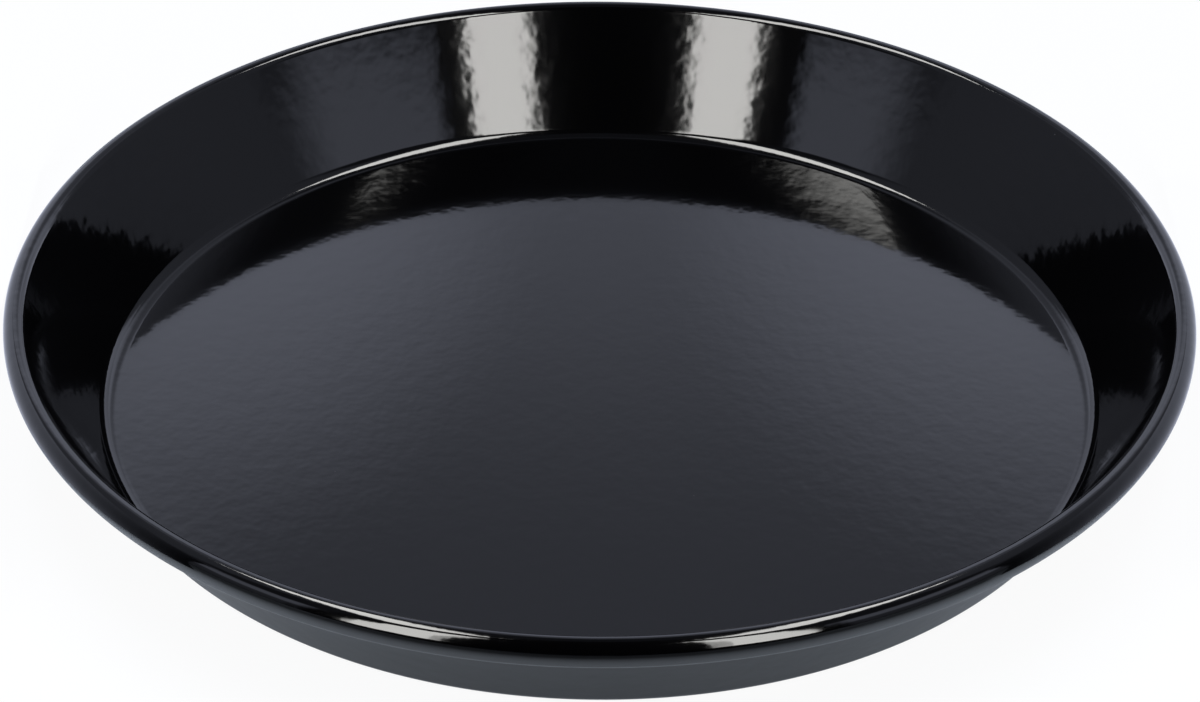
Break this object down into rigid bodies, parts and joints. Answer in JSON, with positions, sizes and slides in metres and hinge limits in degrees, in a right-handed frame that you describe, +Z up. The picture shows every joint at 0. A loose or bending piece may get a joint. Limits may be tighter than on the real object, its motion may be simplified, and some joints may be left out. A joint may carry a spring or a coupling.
{
  "type": "quiche pan",
  "caption": "Round shallow baking pan in black enamelled sheet steel, with a flat floor, a coved corner, a plain flared wall and a rolled rim, for baking quiches and open tarts.",
  "frame": {"origin": "middle of the flat underside, on the surface that the pan stands on", "axes": "+Z up along the pan's axis, out of its open top; X and Y are alike, because the pan is round"},
  "size_m": [0.28, 0.28, 0.032],
  "materials": {
    "sheet_steel": "cold rolled low-carbon sheet, wholly covered by enamel",
    "inside_enamel": "black vitreous enamel, fired gloss",
    "outside_enamel": "black vitreous enamel, fired gloss"
  },
  "bodies": {
    "root": {"steel_pressing": "sheet_steel", "inside_enamel": "inside_enamel", "outside_enamel": "outside_enamel"}
  },
  "joints": []
}
